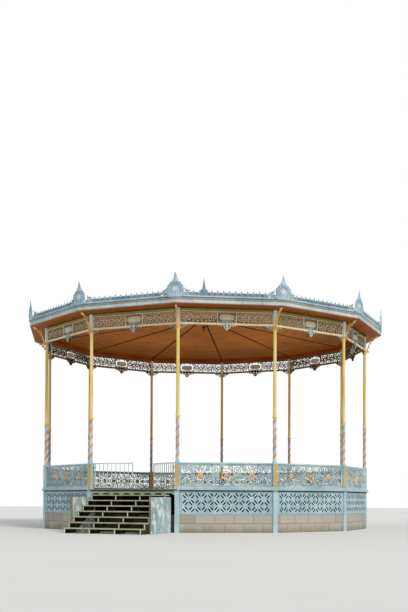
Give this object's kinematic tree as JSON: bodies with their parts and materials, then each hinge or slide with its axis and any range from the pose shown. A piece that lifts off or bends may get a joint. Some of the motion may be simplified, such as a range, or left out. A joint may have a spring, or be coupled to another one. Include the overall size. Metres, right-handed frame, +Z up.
{
  "type": "twelve-sided cast-iron bandstand with stair and gate",
  "caption": "Open bandstand: raised deck behind lattice panels, openwork balustrade, slender columns, boarded ceiling, low roof with cresting, stair with a two-leaf gate.",
  "frame": {"origin": "on the vertical axis of the bandstand, at ground level", "axes": "+Z up; -Y out of the bay with the stair; +X to the right of someone facing the stair"},
  "size_m": [12.9084, 14.3178, 9.4299],
  "materials": {
    "dressed_stone": "rough",
    "pale_blue_paint": "satin",
    "openwork_paint": "satin",
    "cream_paint": "satin",
    "olive_paint": "satin",
    "ochre_paint": "satin",
    "fascia_paint": "satin",
    "blue_grey_paint": "satin",
    "zinc_sheet": "matt",
    "ceiling_timber": "varnished",
    "cornice_timber": "painted",
    "deck_timber": "weathered",
    "structural_timber": "rough",
    "stair_paint": "worn",
    "lamp_metal": "satin",
    "hinge_iron": "worn"
  },
  "bodies": {
    "structure": {"stone_plinth": "dressed_stone", "middle_pier": "dressed_stone", "corner_piers": "pale_blue_paint", "lattice_panels": "pale_blue_paint", "floor_beams": "structural_timber", "floor_deck": "deck_timber", "foot_moulding": "pale_blue_paint", "corner_posts": "pale_blue_paint", "balustrade_panels": "openwork_paint", "hand_rails": "pale_blue_paint", "columns": "cream_paint", "pilasters": "pale_blue_paint", "frieze_panels": "olive_paint", "spandrel_brackets": "openwork_paint", "ring_beam": "structural_timber", "soffit_boards": "ceiling_timber", "eave_gutters": "fascia_paint", "cresting": "blue_grey_paint", "acroteria": "blue_grey_paint", "eave_brackets": "ochre_paint", "inner_cornice": "cornice_timber", "ceiling_boards": "ceiling_timber", "ceiling_ribs": "structural_timber", "ceiling_lamp": "lamp_metal", "crown_post": "structural_timber", "roof_panels": "zinc_sheet", "hip_rolls": "zinc_sheet", "roof_finial": "blue_grey_paint", "treads": "stair_paint", "stringers": "stair_paint", "stair_apron": "stair_paint", "left_cheek": "pale_blue_paint", "right_cheek": "pale_blue_paint", "cheek_posts": "cream_paint", "gate_hinges": "hinge_iron"},
    "left_gate": {"left_gate": "pale_blue_paint"},
    "right_gate": {"right_gate": "pale_blue_paint"}
  },
  "joints": [
    {"name": "left_gate_swing", "type": "hinge", "parent": "structure", "child": "left_gate", "pos_m": [-1.41969, -5.79556, 1.8], "axis": [0, 0, 1], "range_deg": [0, 90]},
    {"name": "right_gate_swing", "type": "hinge", "parent": "structure", "child": "right_gate", "pos_m": [1.41969, -5.79556, 1.8], "axis": [0, 0, -1], "range_deg": [-38, 52]}
  ]
}
